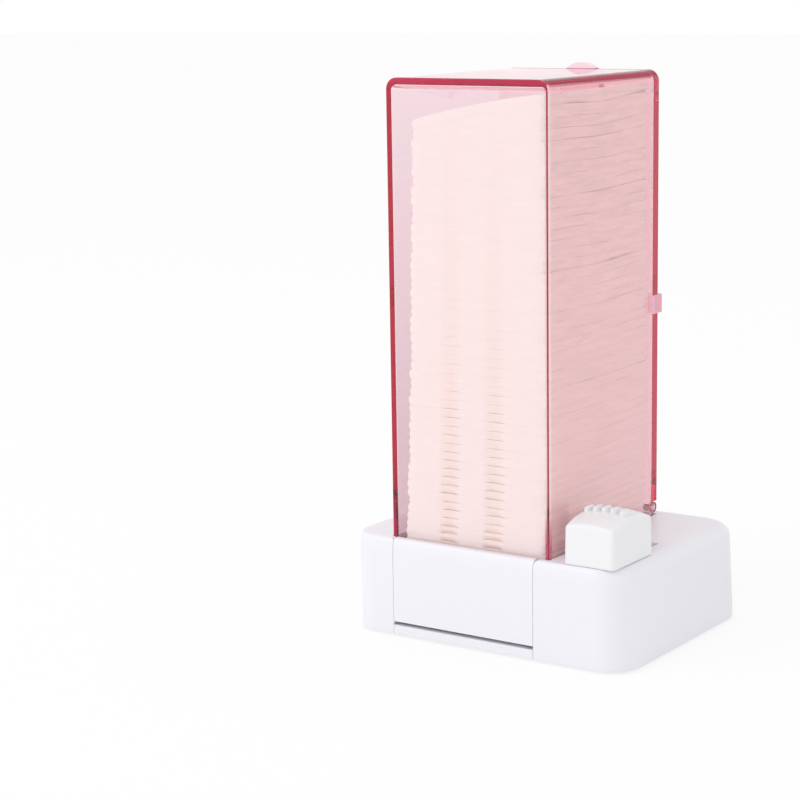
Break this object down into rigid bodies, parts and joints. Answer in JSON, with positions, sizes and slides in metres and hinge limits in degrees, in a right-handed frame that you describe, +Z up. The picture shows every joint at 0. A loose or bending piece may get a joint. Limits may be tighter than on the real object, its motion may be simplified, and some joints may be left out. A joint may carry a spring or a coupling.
{
  "type": "cotton pad dispenser",
  "caption": "Cotton pad dispenser: a clear tinted tower holding a stack of square pads over a white base with a thumb slider, a front exit slot and a hinged rear filling door.",
  "frame": {"origin": "on the floor under the middle of the base", "axes": "+Z up, -Y to the front with the exit slot, +X to the right with the slider"},
  "size_m": [0.101, 0.0804, 0.1792],
  "materials": {
    "base_white": "satin moulded",
    "slider_white": "satin moulded",
    "inner_white": "plain moulded",
    "tower_clear": "clear tinted",
    "steel": "plain zinc plated",
    "foot_rubber": "matt",
    "cotton": "pressed cotton"
  },
  "bodies": {
    "base": {"base_housing": "base_white", "bottom_cover": "base_white", "pad_bed": "base_white", "front_panel": "base_white", "pad_well": "inner_white", "slide_rail": "inner_white", "tower_shell": "tower_clear", "hinge_pin_left": "steel", "hinge_pin_right": "steel", "cover_screws": "steel", "well_screws": "steel", "rubber_foot_front_left": "foot_rubber", "rubber_foot_front_right": "foot_rubber", "rubber_foot_back_left": "foot_rubber", "rubber_foot_back_right": "foot_rubber", "cotton_pads": "cotton"},
    "slider": {"slider_button": "slider_white", "slider_carriage": "inner_white", "pusher_blade": "inner_white", "blade_screws": "steel", "button_screw": "steel"},
    "door": {"rear_door": "tower_clear"}
  },
  "joints": [
    {"name": "slider_slide", "type": "slide", "parent": "base", "child": "slider", "axis": [0, 1, 0], "range_m": [0, 0.025]},
    {"name": "door_hinge", "type": "hinge", "parent": "base", "child": "door", "pos_m": [-0.00625, 0.02985, 0.0346], "axis": [-1, 0, 0], "range_deg": [0, 90]}
  ]
}
